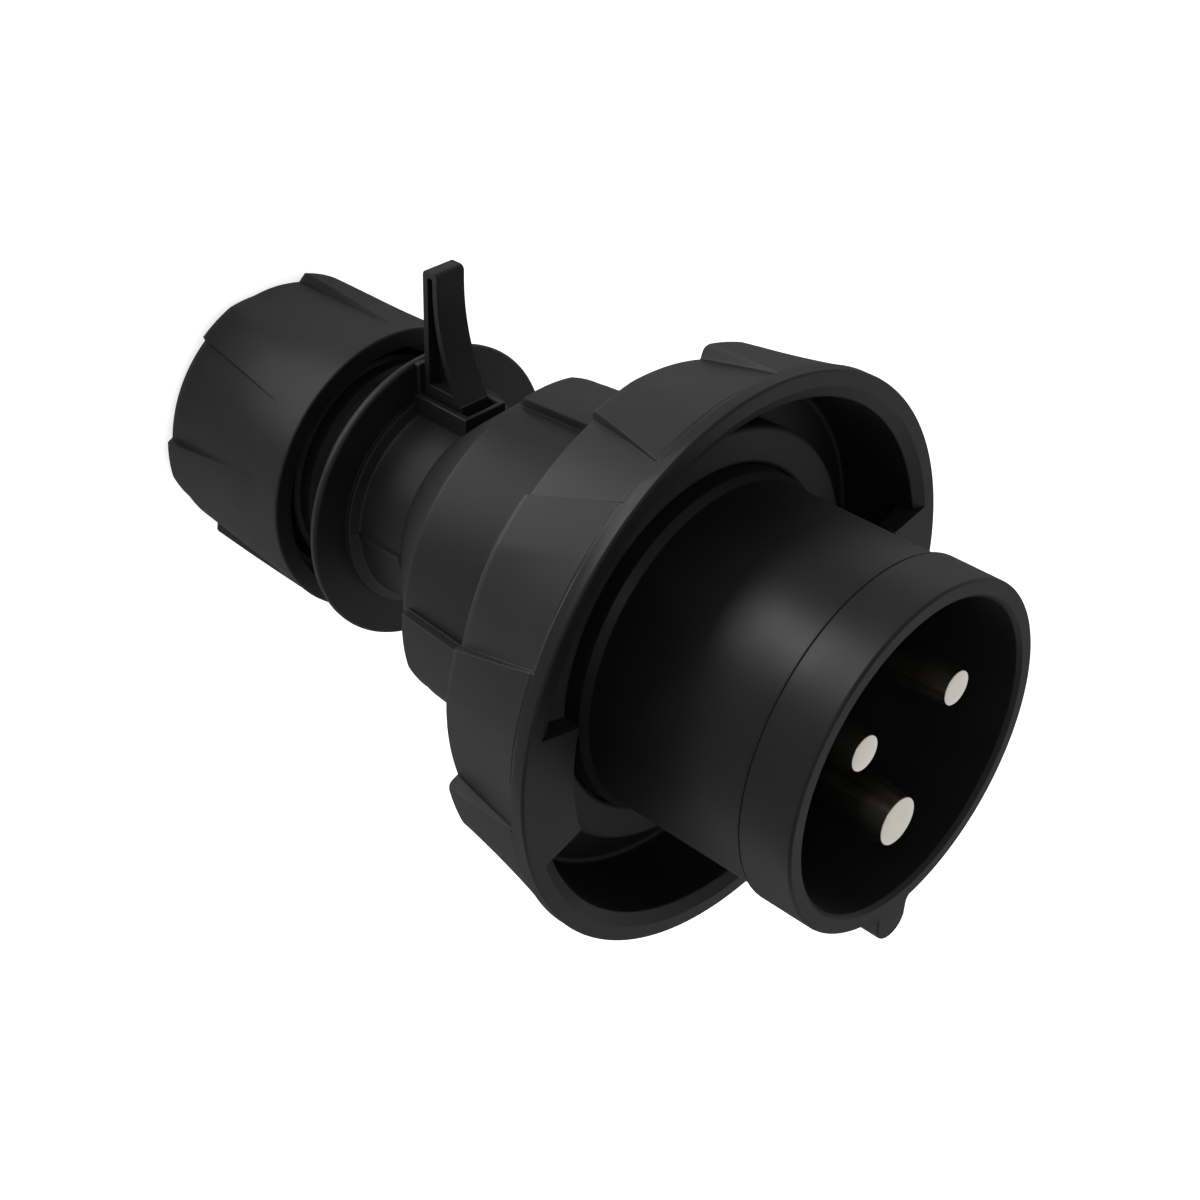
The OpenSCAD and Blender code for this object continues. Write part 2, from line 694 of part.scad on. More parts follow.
// Key along the shroud at 6 o'clock, with a round tip and a flared root
module shroud_key() {
    root = 1.2;
    tip_r = key_w / 2;
    at_clock(earth_at)
        translate([0, 0, mouth_z - key_len])
            linear_extrude(key_len - 0.3)
                difference() {
                    union() {
                        translate([0, key_r - tip_r]) circle(tip_r);
                        translate([-key_w / 2, mouth_r + 1]) square([key_w, key_r - tip_r - mouth_r - 1]);
                        translate([-key_w / 2 - root, mouth_r + 1])
                            square([key_w + 2 * root, band_r + root - mouth_r - 1.4]);
                    }
                    for (side = [-1, 1])
                        translate([side * (key_w / 2 + root), band_r + root - 0.2]) circle(root);
                }
}

module face_gasket() {
    color(rubber_colour) rotate_extrude() difference() {
        translate([collar_r + 0.3, gasket_z]) square([gasket_r - collar_r - 0.3, gasket_t]);
        round_edge(gasket_r, gasket_z + gasket_t, 0.6, -1, -1);
        round_edge(collar_r + 0.3, gasket_z + gasket_t, 0.6, 1, -1);
    }
}

module housing_seal() {
    color(rubber_colour)
        translate([0, 0, seal_z])
            rotate_extrude() translate([seal_groove_r + seal_cord_r + seat_gap / 2, 0]) circle(seal_cord_r);
}

module terminal_block() {
    block_r = block_room_r - 2 * seat_gap;
    cone_rise = (body_bore - cone_rear_r) / (shoulder_h + cone_extra);
    block_rear_r = min(block_r - 0.1, cone_rear_r + (block_z - shoulder_z) * cone_rise - 0.6);
    block_edge = (block_r - block_rear_r) / cone_rise;
    waist_r = screw_r + 1.4;
    window_r = screw_r * 1.7 + 0.3;
    color(insert_colour) difference() {
        union() {
            translate([0, 0, block_z]) cylinder(r1 = block_rear_r, r2 = block_r, h = block_edge);
            translate([0, 0, block_z + block_edge]) cylinder(r = block_r, h = floor_z - block_z - block_edge);
            translate([-tongue_w / 2, tongue_top - tongue_t, pivot_z - 3.4])
                cube([tongue_w, tongue_t, block_z - pivot_z + 3.4 + 0.5]);
        }
        for (angle = [line_at, neutral_at]) terminal_seat(angle, terminal_r, window_r);
        terminal_seat(earth_at, earth_terminal_r, window_r);
        translate([0, 0, block_z - over]) cylinder(r = screw_r + seat_gap, h = floor_z - block_z + 2 * over);
        translate([0, 0, block_z - over]) cylinder(r = waist_r + 0.4, h = 3 + over);
        translate([-nose_w / 2 - run_gap, tongue_top - tongue_t - over, pivot_z - nose_t / 2 - 1])
            cube([nose_w + 2 * run_gap, tongue_t + 2 * over, nose_t + 2]);
    }
}

// Room in the terminal block for one terminal, its wire and its screw
module terminal_seat(angle, r, window_r) {
    at_clock(angle) {
        translate([0, pin_pitch_r, terminal_z]) cylinder(r = r + seat_gap, h = terminal_len + over);
        translate([0, pin_pitch_r, block_z - over]) cylinder(r = r - 0.8, h = block_wall + 2 * over);
        translate([0, pin_pitch_r, screw_z]) rotate([-90, 0, 0]) cylinder(r = window_r, h = hollow_r);
    }
}

module block_screw() {
    head_r = screw_r + 1.4;
    head_h = 2;
    head_z = block_z + 3 - head_h;
    color(steel_colour) difference() {
        union() {
            translate([0, 0, head_z]) cylinder(r = head_r, h = head_h);
            translate([0, 0, block_z + 2.5]) cylinder(r = screw_r, h = floor_z + floor_t - 1 - block_z - 2.5);
        }
        translate([-head_r - over, -0.4, head_z - over]) cube([2 * (head_r + over), 0.8, over + 0.9]);
    }
}

// One turned contact: pin with a rounded tip, collar at its foot, terminal barrel, wire hole and screw hole
module contact(angle, r, barrel_r) {
    color(brass_colour)
        at_clock(angle)
            translate([0, pin_pitch_r, 0])
                difference() {
                    rotate_extrude() difference() {
                        union() {
                            translate([0, terminal_z]) square([barrel_r, terminal_len]);
                            translate([0, floor_z - 0.5]) square([r + foot_t, floor_t + foot_h + 0.5]);
                            translate([0, floor_z - 0.5]) square([r, tip_z - floor_z + 0.5]);
                        }
                        round_edge(r, tip_z, tip_round, -1, -1);
                    }
                    translate([0, 0, terminal_z - over]) cylinder(r = wire_r, h = terminal_len * 0.6 + over);
                    translate([0, 0, screw_z])
                        rotate([-90, 0, 0]) cylinder(r = screw_r + seat_gap / 2, h = barrel_r + over);
                }
}

module earth_pin() {
    contact(earth_at, earth_r, earth_terminal_r);
}

module line_pin() {
    contact(line_at, pin_r, terminal_r);
}

module neutral_pin() {
    contact(neutral_at, pin_r, terminal_r);
}

// One slotted terminal screw, set radially into its terminal
module terminal_screw(angle, barrel_r) {
    head_r = screw_r * 1.7;
    slot = screw_head_h / 2;
    reach = barrel_r - wire_r * 0.4;
    color(steel_colour)
        at_clock(angle)
            translate([0, pin_pitch_r + barrel_r + screw_lift, screw_z])
                rotate([-90, 0, 0])
                    difference() {
                        union() {
                            cylinder(r = head_r, h = screw_head_h);
                            translate([0, 0, -reach]) cylinder(r = screw_r, h = reach + slot / 2);
                        }
                        translate([-head_r - over, -slot / 2, screw_head_h - slot])
                            cube([2 * (head_r + over), slot, slot + over]);
                    }
}

module earth_screw() {
    terminal_screw(earth_at, earth_terminal_r);
}

module line_screw() {
    terminal_screw(line_at, terminal_r);
}

module neutral_screw() {
    terminal_screw(neutral_at, terminal_r);
}

rear_housing();
gland_nut();
slip_ring();
clamp_cage();
gland_seal();
lock_lever();
lever_pin();
bayonet_ring();
shroud();
face_gasket();
housing_seal();
terminal_block();
block_screw();
earth_pin();
line_pin();
neutral_pin();
earth_screw();
line_screw();
neutral_screw();
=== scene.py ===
"""Dresses the pin-and-sleeve plug: rounded mouldings, threads, turned pins, finishes and a studio stage."""
import math

import bmesh
import bpy
from bpy.props import FloatProperty, FloatVectorProperty, PointerProperty
from bpy.types import Operator, Panel, PropertyGroup
from mathutils import Matrix, Vector


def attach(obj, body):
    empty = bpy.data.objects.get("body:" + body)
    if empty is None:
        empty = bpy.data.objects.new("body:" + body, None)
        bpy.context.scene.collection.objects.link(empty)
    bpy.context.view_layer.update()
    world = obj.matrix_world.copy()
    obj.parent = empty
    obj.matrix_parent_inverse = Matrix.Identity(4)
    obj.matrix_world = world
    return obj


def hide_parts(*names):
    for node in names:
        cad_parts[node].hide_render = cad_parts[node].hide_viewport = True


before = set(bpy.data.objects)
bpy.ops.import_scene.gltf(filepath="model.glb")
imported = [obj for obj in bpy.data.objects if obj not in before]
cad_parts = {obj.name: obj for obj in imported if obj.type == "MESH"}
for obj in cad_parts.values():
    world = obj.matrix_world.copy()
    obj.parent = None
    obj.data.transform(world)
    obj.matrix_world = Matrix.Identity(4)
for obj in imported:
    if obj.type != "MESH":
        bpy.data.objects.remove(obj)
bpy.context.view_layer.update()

bl_info = {
    "name": "Pin-and-sleeve plug",
    "version": (1, 0, 0),
    "blender": (4, 5, 0),
    "location": "3D View > Sidebar > Plug",
    "description": "Builds the mouldings, contacts and finishes of an industrial plug around its solids",
    "category": "Object",
}

# The plug's lengths are millimetres in the frame of its solids, and MM turns them into metres; the camera and
# the soft boxes are placed in metres. Clock angles are degrees from +Y, the lever's side, towards +X
MM = 0.001

# Grips: valley is the clock angle of the valley and half is half its width; teeth follow each other by pitch,
# count of them on either side, each with a step, a level top and a ramp; low says how many teeth next to the
# valley are low ones, clockwise and on the other side; lean is the teeth's slant. All angles are degrees
NUT_GRIP = {"valley": -61.5, "half": 23.5, "pitch": 56, "count": 3, "level": 17, "ramp": 14, "step": 0.9,
            "low": (1, 1), "lean": 8}
BODY_GRIP = {"valley": -47, "half": 38.5, "pitch": 51.5, "count": 3, "level": 20, "ramp": 16, "step": 0.7,
             "low": (0, 0), "lean": 0}
RING_GRIP = {"valley": -29.5, "half": 10.5, "pitch": 31.8, "count": 6, "level": 11, "ramp": 20, "step": 0.5,
             "low": (1, 2), "lean": 14}

# Levels along the axis, from the nut's rear end
NUT_TOP = 25.3
DRUM_REAR, DRUM_FRONT = 29.5, 33.5
SHOULDER, BODY, FLANGE = 42.4, 51.2, 71.2
RING_REAR, RING_FLOOR, RIM, RING_TOP = 71.4, 75.9, 84.9, 87.1
SEAT, GASKET, COLLAR, BAND, MOUTH = 76.1, 78.1, 81.2, 104.6, 112.0
TERMINAL, FLOOR_REAR, FLOOR_FRONT, TIP = 51.0, 70.0, 74.0, 110.8

# Lever: level of its rear edge, height of its top above the axis and its width, then the pocket around its
# foot: half its width and the levels of its ends
LEVER_REAR, LEVER_TOP, LEVER_WIDTH = 34.5, 33.3, 4.6
POCKET_HALF, POCKET_REAR, POCKET_FRONT = 2.5, 34.3, 42.6

# Gland thread: pitch, radius of its crest on the spigot and of the bore in the nut, how far a ridge is sunk
# into its wall and how wide it is at its crest
THREAD_PITCH, THREAD_CREST, THREAD_BORE, THREAD_SUNK, THREAD_FLAT = 3.0, 15.2, 15.6, 0.15, 0.5

# Radius of the shroud's flange and of the gasket on it
GASKET_EDGE = 27

# Clock angles of the sides that carry neck ridges, stops and notches
SIDES = (90, -90)

# Pins: radius of the circle of their centres, then name, clock angle, radius and radius of the barrel
PIN_CIRCLE = 9.7
PINS = (("line_pin", 60, 2.5, 4.0), ("neutral_pin", -60, 2.5, 4.0), ("earth_pin", 180, 3.5, 4.8))

# Angle in degrees from which an edge of a turned mesh stays sharp
SHARP_EDGE = 38

# Camera of the photograph: place, the directions of its right, up and back, and its lens and sensor in mm
CAMERA_AT = (-0.15958, 0.14589, 0.20993)
CAMERA_AXES = ((0.6895, 0.0278, 0.7237), (0.3934, 0.8247, -0.4064), (-0.6082, 0.5649, 0.5577))
CAMERA_LENS, CAMERA_SENSOR = 63.34, 36

# Soft boxes: name, place, what they face, size and watts; the low ones lie on the floor and face up,
# because the sides that the camera sees mirror the floor
LIGHTS = (
    ("key_box", (-0.08, 0.187, 0.001), (-0.08, 0.187, 1), 0.12, 1.0),
    ("near_box", (-0.034, 0.049, 0.001), (-0.034, 0.049, 1), 0.06, 0.04),
    ("side_box", (-0.685, 0, 0.2), (0, 0, 0.056), 0.4, 0.15),
    ("back_box", (0.482, -0.404, 0.394), (0, 0, 0.087), 0.45, 0.12),
    ("front_box", (-0.41, 0.38, 0.43), (0, 0, 0.056), 0.16, 0.4),
)


class PlugFinish(PropertyGroup):
    """Colours and surface qualities of the plug's materials"""
    black: FloatVectorProperty(name="Moulding", description="Colour of the black mouldings", subtype="COLOR",
                               default=(0.0045, 0.0045, 0.0046), min=0, max=1)
    rubber: FloatVectorProperty(name="Rubber", description="Colour of the seals", subtype="COLOR",
                                default=(0.012, 0.012, 0.012), min=0, max=1)
    insert: FloatVectorProperty(name="Inserts", description="Colour of the inner mouldings", subtype="COLOR",
                                default=(0.012, 0.012, 0.012), min=0, max=1)
    nickel: FloatVectorProperty(name="Contacts", description="Colour of the plated contacts", subtype="COLOR",
                                default=(0.39, 0.37, 0.33), min=0, max=1)
    steel: FloatVectorProperty(name="Screws", description="Colour of the screws", subtype="COLOR",
                               default=(0.62, 0.63, 0.65), min=0, max=1)
    gloss: FloatProperty(name="Roughness", description="Mean roughness of the black mouldings", default=0.42,
                         min=0.05, max=1, subtype="FACTOR")
    grain: FloatProperty(name="Grain", description="Grains a metre of the moulded skin", default=2600,
                         min=100)


class PlugForm(PropertyGroup):
    """Sizes of the plug's small forms"""
    nut_tooth: FloatProperty(name="Nut tooth", description="Height of a grip tooth on the nut, in mm",
                             default=1.4, min=0.5, max=2)
    body_tooth: FloatProperty(name="Body tooth", description="Height of a grip tooth on the body, in mm",
                              default=1.2, min=0.5, max=1.6)
    ring_tooth: FloatProperty(name="Ring tooth", description="Height of a grip tooth on the ring, in mm",
                              default=2.0, min=1, max=2.4)
    thread_depth: FloatProperty(name="Thread depth", description="Height of the gland thread, in mm",
                                default=0.6, min=0.2, max=0.7)
    columns: FloatProperty(name="Column step", description="Widest step between columns of a turned mesh",
                           default=math.radians(1.5), min=math.radians(0.5), max=math.radians(6),
                           subtype="ANGLE")


class PlugStage(PropertyGroup):
    """Floor, background and light"""
    sky: FloatProperty(name="Sky", description="Strength of the even light from all around", default=1, min=0)
    lamps: FloatProperty(name="Lamps", description="Factor on all soft boxes", default=1, min=0)
    floor: FloatVectorProperty(name="Floor", description="Colour of the floor", subtype="COLOR",
                               default=(0.8, 0.8, 0.8), min=0, max=1)


# Paths and meshes

def round_path(corners, closed=True):
    """Points (radius, height, place on the path) along corners (radius, height, rounding, cuts).

    Places count the corners from 0, and cuts are extra points on the run that follows a corner.
    """
    count = len(corners)
    nearly_straight = math.pi - 0.02
    share_of_run = 0.48
    facet = math.radians(16)
    arcs = []
    for i, (r, z, rounding, _) in enumerate(corners):
        here = Vector((r, z))
        if not closed and i in (0, count - 1):
            arcs.append([here])
            continue
        before = Vector(corners[i - 1][:2]) - here
        after = Vector(corners[(i + 1) % count][:2]) - here
        angle = before.angle(after)
        if rounding <= 0 or angle > nearly_straight:
            arcs.append([here])
            continue
        back = min(rounding / math.tan(angle / 2), share_of_run * before.length, share_of_run * after.length)
        radius = back * math.tan(angle / 2)
        inward = (before.normalized() + after.normalized()).normalized()
        middle = here + inward * (radius / math.sin(angle / 2))
        first = here + before.normalized() * back - middle
        last = here + after.normalized() * back - middle
        start = math.atan2(first.y, first.x)
        turn = (math.atan2(last.y, last.x) - start + math.pi) % (2 * math.pi) - math.pi
        steps = max(3, math.ceil(abs(turn) / facet))
        turns = [start + turn * k / steps for k in range(steps + 1)]
        arcs.append([middle + radius * Vector((math.cos(t), math.sin(t))) for t in turns])
    path = []
    for i, arc in enumerate(arcs):
        path += [(p.x, p.y, float(i)) for p in arc]
        cuts = corners[i][3]
        if cuts and (closed or i < count - 1):
            a, b = arc[-1], arcs[(i + 1) % count][0]
            path += [(*a.lerp(b, k / (cuts + 1)), i + k / (cuts + 1)) for k in range(1, cuts + 1)]
    return path


def edge_marks(middles, half, gaps):
    """Clock angles at each gap outside the edges of spans, which lie half their width from each middle."""
    return [middle + side * (half + gap) for middle in middles for side in (1, -1) for gap in gaps]


def close_columns(marks, widths):
    """Clock angles at each width from each mark."""
    return {round((mark + width) % 360, 4) for mark in marks for width in widths}


def clock_columns(close, coarse):
    """Clock angles of a turned mesh: the close ones, and an even coarse spread wherever none is near."""
    even = [k * coarse for k in range(round(360 / coarse))]
    apart = 0.45 * coarse
    kept = [a for a in even if all(abs((a - c + 180) % 360 - 180) > apart for c in close)]
    return sorted([*close, *kept])


def add_object(name, data):
    """Adds an object to the scene."""
    made = bpy.data.objects.new(name, data)
    bpy.context.scene.collection.objects.link(made)
    return made


def finish_mesh(name, mesh, sharp=SHARP_EDGE):
    """Makes an object of a mesh, with faces outward and smooth shading up to a sharp angle."""
    work = bmesh.new()
    work.from_mesh(mesh)
    bmesh.ops.remove_doubles(work, verts=work.verts, dist=1e-7)
    bmesh.ops.recalc_face_normals(work, faces=work.faces)
    work.to_mesh(mesh)
    work.free()
    mesh.shade_smooth()
    mesh.set_sharp_from_angle(angle=math.radians(sharp))
    piece = add_object(name, mesh)
    weights = piece.modifiers.new("even_normals", "WEIGHTED_NORMAL")
    weights.keep_sharp = True
    return piece


def turned(name, path, columns, place=None, closed=True, centre=(0, 0)):
    """Turned mesh of a path at each column; place(radius, height, place on the path, angle) moves a point."""
    points = []
    for angle in columns:
        for r, z, at in path:
            r2, a2, z2 = place(r, z, at, angle) if place else (r, angle, z)
            turn = math.radians(a2)
            x, y = centre[0] + r2 * math.sin(turn), centre[1] + r2 * math.cos(turn)
            points.append((x * MM, y * MM, z2 * MM))
    rows, cols = len(path), len(columns)
    faces = []
    for j in range(cols):
        here, there = j * rows, (j + 1) % cols * rows
        for i in range(rows if closed else rows - 1):
            k = (i + 1) % rows
            faces.append((here + i, there + i, there + k, here + k))
    mesh = bpy.data.meshes.new(name)
    mesh.from_pydata(points, [], faces)
    return finish_mesh(name, mesh)


def swept_thread(name, bottom, top, phase, root, crest, foot):
    """Ridge of a right-hand thread from one height to another, with run-outs at both ends."""
    steps_a_turn, run_out, least, sharp = 90, 0.9, 0.02, 30
    turns = (top - bottom) / THREAD_PITCH
    steps = round(turns * steps_a_turn)
    whole = 2 * math.pi * turns
    points, faces = [], []
    for k in range(steps + 1):
        turn = whole * k / steps
        grown = min(1, turn / run_out, (whole - turn) / run_out)
        tip = root + (crest - root) * max(least, grown)
        z = bottom + phase + THREAD_PITCH * turn / (2 * math.pi)
        for r, dz in ((root, -foot / 2), (tip, -THREAD_FLAT / 2), (tip, THREAD_FLAT / 2), (root, foot / 2)):
            points.append((r * math.cos(turn) * MM, r * math.sin(turn) * MM, (z + dz) * MM))
    for k in range(steps):
        for i in range(4):
            j = (i + 1) % 4
            faces.append((4 * k + i, 4 * k + j, 4 * k + 4 + j, 4 * k + 4 + i))
    faces += [(0, 1, 2, 3), tuple(4 * steps + i for i in range(4))]
    mesh = bpy.data.meshes.new(name)
    mesh.from_pydata(points, [], faces)
    return finish_mesh(name, mesh, sharp)


def block(work, low, high):
    """Adds a box between two corners to a bmesh."""
    size = [b - a for a, b in zip(low, high)]
    middle = [(a + b) / 2 for a, b in zip(low, high)]
    made = Matrix.Translation([m * MM for m in middle]) @ Matrix.Diagonal([s * MM for s in size] + [1])
    bmesh.ops.create_cube(work, size=1, matrix=made)


def prism(work, first, last):
    """Closes two like rings of a bmesh's points into a prism."""
    work.faces.new(first)
    work.faces.new(last)
    for i in range(len(first)):
        j = (i + 1) % len(first)
        work.faces.new((first[i], first[j], last[j], last[i]))
    bmesh.ops.recalc_face_normals(work, faces=work.faces)


def slab(work, outline, low, high):
    """Adds a prism to a bmesh: an outline of (height, forward) points, from one width to another."""
    rings = []
    for x in (low, high):
        rings.append([work.verts.new((x * MM, h * MM, (LEVER_REAR + f) * MM)) for h, f in outline])
    prism(work, *rings)


def rounded(name, work, width, segments=3, sharp=28):
    """Makes an object of a bmesh and rounds its edges from a sharp angle on."""
    mesh = bpy.data.meshes.new(name)
    work.to_mesh(mesh)
    work.free()
    mesh.shade_smooth()
    piece = add_object(name, mesh)
    bevel = piece.modifiers.new("round_edges", "BEVEL")
    bevel.width = width * MM
    bevel.segments = segments
    bevel.limit_method = "ANGLE"
    bevel.angle_limit = math.radians(sharp)
    bevel.harden_normals = True
    return piece


def cut_away(piece, work):
    """Cuts the form of a bmesh out of a piece's mesh, ahead of its other modifiers."""
    mesh = bpy.data.meshes.new("cutter")
    work.to_mesh(mesh)
    work.free()
    cutter = add_object("cutter", mesh)
    cut = piece.modifiers.new("cut", "BOOLEAN")
    cut.operation = "DIFFERENCE"
    cut.solver = "EXACT"
    cut.object = cutter
    bpy.context.view_layer.objects.active = piece
    bpy.ops.object.modifier_move_to_index(modifier=cut.name, index=0)
    bpy.ops.object.modifier_apply(modifier=cut.name)
    bpy.data.objects.remove(cutter)
    bpy.data.meshes.remove(mesh)


def smooth(x):
    """Soft rise from 0 to 1."""
    x = min(1, max(0, x))
    return x * x * (3 - 2 * x)


# Grips

def grip_marks(grip):
    """Clock angles of a grip's steps, and of the ends of its level tops and ramps."""
    steps, bends = [], []
    for side in (1, -1):
        for k in range(grip["count"]):
            step = grip["valley"] + side * (grip["half"] + k * grip["pitch"])
            steps.append(step)
            bends += [step + side * grip["level"], step + side * (grip["level"] + grip["ramp"])]
    return steps, bends


def grip_columns(grip, coarse, marks=()):
    """Columns for a turned mesh with a grip, and with further sharp marks."""
    step_shares = (-1, -0.62, -0.5, -0.4, -0.3, -0.2, -0.1, 0, 0.1, 0.2, 0.3, 0.4, 0.5, 0.62, 1)
    bend_widths, mark_widths = (-1.2, -0.4, 0.4, 1.2), (-0.12, 0, 0.12)
    steps, bends = grip_marks(grip)
    close = close_columns(steps, [grip["step"] * share for share in step_shares])
    close |= close_columns(bends, bend_widths) | close_columns(marks, mark_widths)
    return clock_columns(close, coarse)


def tooth_at(grip, angle):
    """Share of a tooth's height at a clock angle, and whether the tooth is a low one."""
    best, low = 0, False
    for n, side in enumerate((1, -1)):
        past = side * (angle - grip["valley"]) % 360 - grip["half"]
        if past < -grip["step"]:
            continue
        k = min(grip["count"] - 1, math.floor((past + grip["step"] / 2) / grip["pitch"]))
        local = past - k * grip["pitch"]
        rise = smooth(local / grip["step"] + 0.5)
        fall = 1 - max(0, local - grip["level"]) / grip["ramp"]
        share = min(rise, max(0, fall))
        if share > best:
            best, low = share, k < grip["low"][n]
    return best, low


def lean_share(grip, angle):
    """Side that a grip leans to at a clock angle: 1 clockwise of the valley, -1 on the other side."""
    valley_share, back_degrees = 0.6, 5
    away = (angle - grip["valley"] + 180) % 360 - 180
    near = min(1, abs(away) / (valley_share * grip["half"]))
    far = min(1, (180 - abs(away)) / back_degrees)
    return math.copysign(near * far, away)


def lean_angle(grip, angle, along, radius):
    """Clock angle of a column that leans towards the valley after a length along the axis."""
    shift = math.degrees(along * math.tan(math.radians(grip["lean"])) / radius)
    return angle - lean_share(grip, angle) * shift


def in_span(angle, middle, half):
    """Whether a clock angle lies within half degrees of another."""
    return abs((angle - middle + 180) % 360 - 180) <= half + 1e-6


# Finishes

def add_node(tree, kind, **values):
    """Adds a node and sets its properties and its named inputs."""
    node = tree.nodes.new(kind)
    for name, value in values.items():
        if name in node.bl_rna.properties:
            setattr(node, name, value)
        else:
            node.inputs[name.replace("_", " ")].default_value = value
    return node


def moulded_skin():
    """Group: fine grain, slow gloss changes and faint shade changes of a moulded or cast surface."""
    if "moulded_skin" in bpy.data.node_groups:
        return bpy.data.node_groups["moulded_skin"]
    grain_in_shade = 0.35
    tree = bpy.data.node_groups.new("moulded_skin", "ShaderNodeTree")
    face = tree.interface
    face.new_socket("Place", in_out="INPUT", socket_type="NodeSocketVector")
    face.new_socket("Grain", in_out="INPUT", socket_type="NodeSocketFloat")
    face.new_socket("Flow", in_out="INPUT", socket_type="NodeSocketFloat")
    for name in ("Height", "Gloss", "Shade"):
        face.new_socket(name, in_out="OUTPUT", socket_type="NodeSocketFloat")
    into = tree.nodes.new("NodeGroupInput")
    out = tree.nodes.new("NodeGroupOutput")
    grain = add_node(tree, "ShaderNodeTexNoise", Detail=3.0, Roughness=0.6)
    flow = add_node(tree, "ShaderNodeTexNoise", Detail=2.0, Roughness=0.5, Distortion=0.6)
    fleck = add_node(tree, "ShaderNodeMath", operation="MULTIPLY_ADD")
    fleck.inputs[1].default_value = grain_in_shade
    for node, scale in ((grain, "Grain"), (flow, "Flow")):
        tree.links.new(into.outputs["Place"], node.inputs["Vector"])
        tree.links.new(into.outputs[scale], node.inputs["Scale"])
    tree.links.new(grain.outputs["Fac"], fleck.inputs[0])
    tree.links.new(flow.outputs["Fac"], fleck.inputs[2])
    tree.links.new(grain.outputs["Fac"], out.inputs["Height"])
    tree.links.new(flow.outputs["Fac"], out.inputs["Gloss"])
    tree.links.new(fleck.outputs["Value"], out.inputs["Shade"])
    return tree


def skin_material(name, colour, roughness, spread, grain, flow, depth, metallic=0.0, lift=1.25, specular=0.5,
                  edge_dull=0.0):
    """Material of one moulded, cast or plated surface; edge_dull adds roughness at grazing angles."""
    made = bpy.data.materials.get(name)
    if made:
        return made
    made = bpy.data.materials.new(name)
    made.use_nodes = True
    tree = made.node_tree
    shader = tree.nodes["Principled BSDF"]
    shader.inputs["Metallic"].default_value = metallic
    shader.inputs["Specular IOR Level"].default_value = specular
    place = tree.nodes.new("ShaderNodeTexCoord")
    skin = tree.nodes.new("ShaderNodeGroup")
    skin.node_tree = moulded_skin()
    skin.inputs["Grain"].default_value = grain
    skin.inputs["Flow"].default_value = flow
    tree.links.new(place.outputs["Object"], skin.inputs["Place"])
    tint = tree.nodes.new("ShaderNodeValToRGB")
    dark, light = tint.color_ramp.elements
    dark.position, light.position = 0.45, 0.9
    dark.color = (*[c / lift for c in colour], 1)
    light.color = (*[min(1, c * lift) for c in colour], 1)
    tree.links.new(skin.outputs["Shade"], tint.inputs["Fac"])
    tree.links.new(tint.outputs["Color"], shader.inputs["Base Color"])
    gloss = add_node(tree, "ShaderNodeMapRange", From_Min=0.3, From_Max=0.7, To_Min=roughness - spread,
                     To_Max=roughness + spread)
    tree.links.new(skin.outputs["Gloss"], gloss.inputs["Value"])
    total = gloss.outputs["Result"]
    if edge_dull:
        slant = add_node(tree, "ShaderNodeLayerWeight", Blend=0.5)
        dull = add_node(tree, "ShaderNodeMapRange", From_Min=0.45, From_Max=0.95, To_Min=0.0,
                        To_Max=edge_dull)
        tree.links.new(slant.outputs["Facing"], dull.inputs["Value"])
        both = add_node(tree, "ShaderNodeMath", operation="ADD")
        tree.links.new(gloss.outputs["Result"], both.inputs[0])
        tree.links.new(dull.outputs["Result"], both.inputs[1])
        total = both.outputs["Value"]
    tree.links.new(total, shader.inputs["Roughness"])
    bump = add_node(tree, "ShaderNodeBump", Strength=1.0, Distance=depth)
    tree.links.new(skin.outputs["Height"], bump.inputs["Height"])
    tree.links.new(bump.outputs["Normal"], shader.inputs["Normal"])
    return made


def black_moulding(scene):
    """Satin black thermoplastic of the visible mouldings."""
    kept = scene.plug_finish
    return skin_material("black_moulding", kept.black, kept.gloss, spread=0.04, grain=kept.grain, flow=60,
                         depth=2.2e-6, specular=0.085, edge_dull=0.45)


def seal_rubber(scene):
    """Matte rubber of the seals."""
    return skin_material("seal_rubber", scene.plug_finish.rubber, roughness=0.62, spread=0.06, grain=1800,
                         flow=90, depth=6e-6, specular=0.1)


def insert_moulding(scene):
    """Dark moulding of the pieces inside."""
    return skin_material("insert_moulding", scene.plug_finish.insert, roughness=0.5, spread=0.05, grain=2200,
                         flow=80, depth=4e-6, specular=0.2)


def contact_nickel(scene):
    """Nickel plated turned contacts."""
    return skin_material("contact_nickel", scene.plug_finish.nickel, roughness=0.22, spread=0.01, grain=5200,
                         flow=240, depth=5e-8, metallic=1.0, lift=1.04)


def screw_zinc(scene):
    """Zinc plated screws and the lever's pin."""
    return skin_material("screw_zinc", scene.plug_finish.steel, roughness=0.32, spread=0.06, grain=4200,
                         flow=300, depth=1.5e-6, metallic=1.0, lift=1.08)


def dress(piece, material):
    """Gives a piece or a solid one material on all its slots."""
    if not piece.data.materials:
        piece.data.materials.append(material)
    for slot in piece.material_slots:
        slot.material = material


def keep(piece, body, slot, material, *nodes):
    """Dresses a piece, lets it ride on a body and stand for solids."""
    dress(piece, material)
    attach(piece, body)
    if nodes:
        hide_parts(*nodes)


# Operators, one for each piece or group of like pieces

